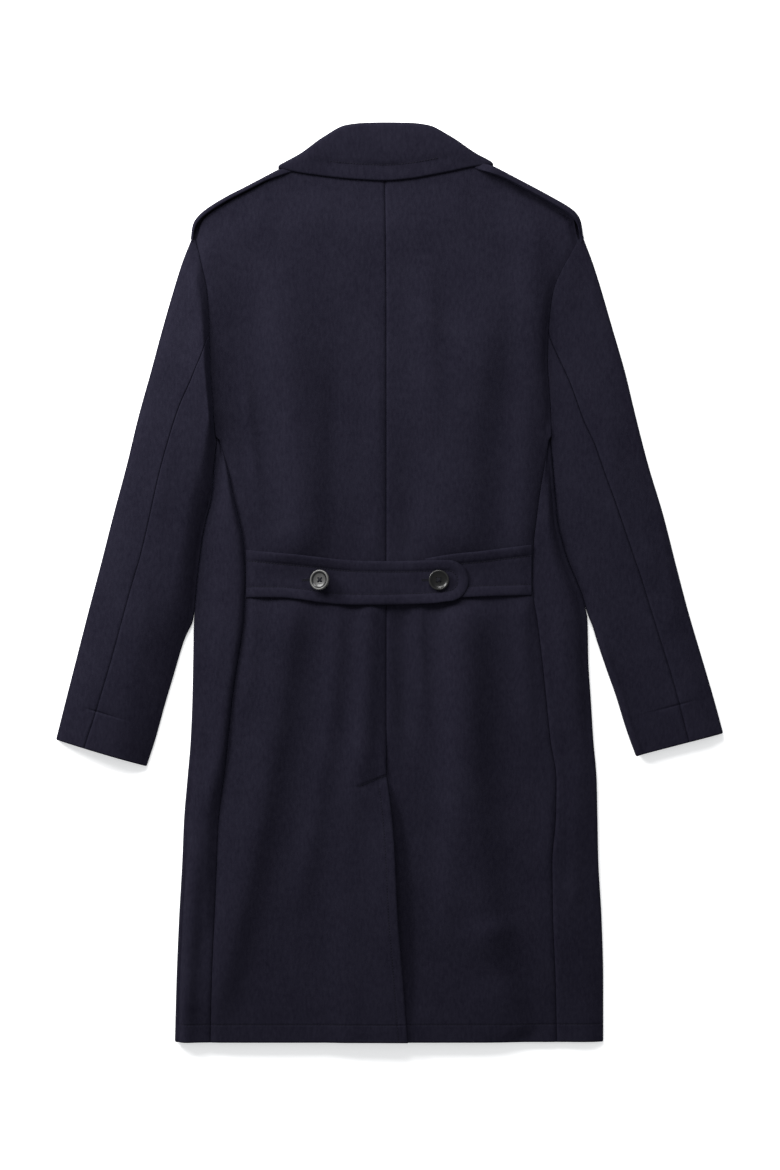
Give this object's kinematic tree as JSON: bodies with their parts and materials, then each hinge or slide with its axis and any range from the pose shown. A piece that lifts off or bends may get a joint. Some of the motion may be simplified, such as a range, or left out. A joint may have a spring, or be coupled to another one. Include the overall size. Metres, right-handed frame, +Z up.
{
  "type": "wool coat",
  "caption": "Dark wool coat laid face down: turned-down collar, shoulder straps, long two-piece sleeves, a buttoned half belt at the back of the waist and a centre vent.",
  "frame": {"origin": "middle of the coat's outline, on the surface it lies on", "axes": "+Y towards the collar, +X to the right as the back is seen, +Z up from the surface to the coat's back"},
  "size_m": [0.8016, 1.1037, 0.0281],
  "materials": {
    "wool": "matt felted melton, near black navy",
    "button_left": "polished grey with a pale rim",
    "button_right": "polished near black"
  },
  "bodies": {
    "root": {"back_left": "wool", "back_right": "wool", "side_left": "wool", "side_right": "wool", "front_left": "wool", "front_right": "wool", "sleeve_upper_left": "wool", "sleeve_upper_right": "wool", "sleeve_under_left": "wool", "sleeve_under_right": "wool", "collar": "wool", "collar_front_left": "wool", "collar_front_right": "wool", "strap_left": "wool", "strap_right": "wool", "belt_left": "wool", "belt_right": "wool", "button_left": "button_left", "button_right": "button_right"}
  },
  "joints": []
}
